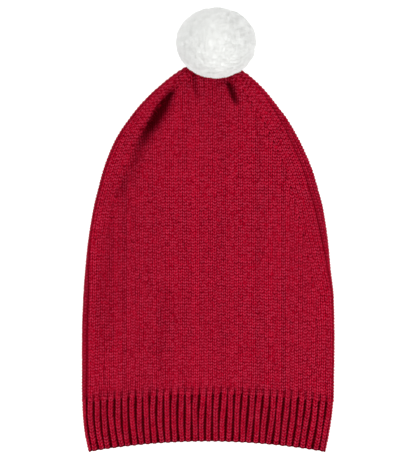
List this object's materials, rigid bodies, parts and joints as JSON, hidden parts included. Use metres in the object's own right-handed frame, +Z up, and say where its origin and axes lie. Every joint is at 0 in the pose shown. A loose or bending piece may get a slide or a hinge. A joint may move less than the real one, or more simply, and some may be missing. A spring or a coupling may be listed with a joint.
{
  "type": "knitted santa hat",
  "caption": "Knitted santa hat lying flat: an open stockinette crown narrowing to a gathered tip, a ribbed cuff at the mouth and a fluffy pompom.",
  "frame": {"origin": "middle of the hat's footprint, on the surface that it lies on", "axes": "+X to the right across the hat, +Y from the hem to the pompom, +Z up out of the front"},
  "size_m": [0.2012, 0.3506, 0.0524],
  "materials": {
    "red_knit": "matt wool-like yarn in plain stockinette, knit side out",
    "red_rib": "the same yarn in a deep knit one, purl one rib",
    "white_fluff": "soft brushed pile, white, matt",
    "red_tie": "a few plies of the crown's yarn drawn tight"
  },
  "bodies": {
    "root": {"crown_front": "red_knit", "crown_back": "red_knit", "cuff_front": "red_rib", "cuff_back": "red_rib", "pompom": "white_fluff", "pompom_tie": "red_tie"}
  },
  "joints": []
}
